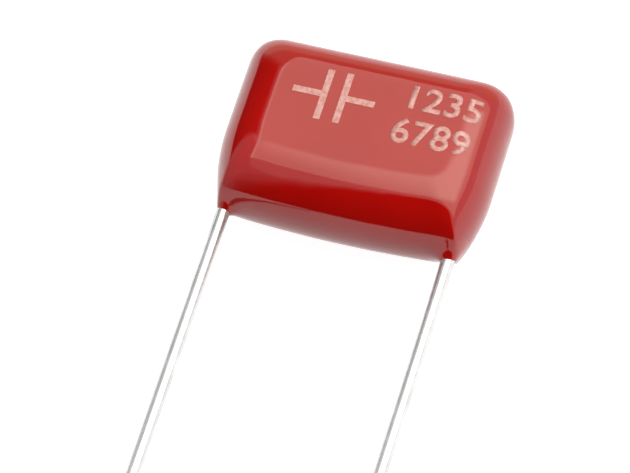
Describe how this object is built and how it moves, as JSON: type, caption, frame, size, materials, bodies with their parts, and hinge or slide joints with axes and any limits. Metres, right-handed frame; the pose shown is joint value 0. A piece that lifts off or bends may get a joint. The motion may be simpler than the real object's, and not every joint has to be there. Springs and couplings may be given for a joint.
{
  "type": "dipped film capacitor",
  "caption": "Flat film capacitor dipped in glossy red epoxy, with straight round wire leads that leave one long edge, for through-hole boards.",
  "frame": {"origin": "on the flat back, under the middle of the film roll", "axes": "+X along the roll, from the left lead to the right one seen from the front; +Y away from the leads; +Z out of the flat front"},
  "size_m": [0.012, 0.0233, 0.0048],
  "materials": {
    "epoxy": "gloss",
    "film": "satin",
    "sprayed_metal": "matte",
    "tinned_wire": "gloss",
    "solder": "satin"
  },
  "bodies": {
    "root": {"epoxy_coating": "epoxy", "film_winding": "film", "end_spray_left": "sprayed_metal", "end_spray_right": "sprayed_metal", "lead_left": "tinned_wire", "lead_right": "tinned_wire", "solder_joint_left": "solder", "solder_joint_right": "solder"}
  },
  "joints": []
}
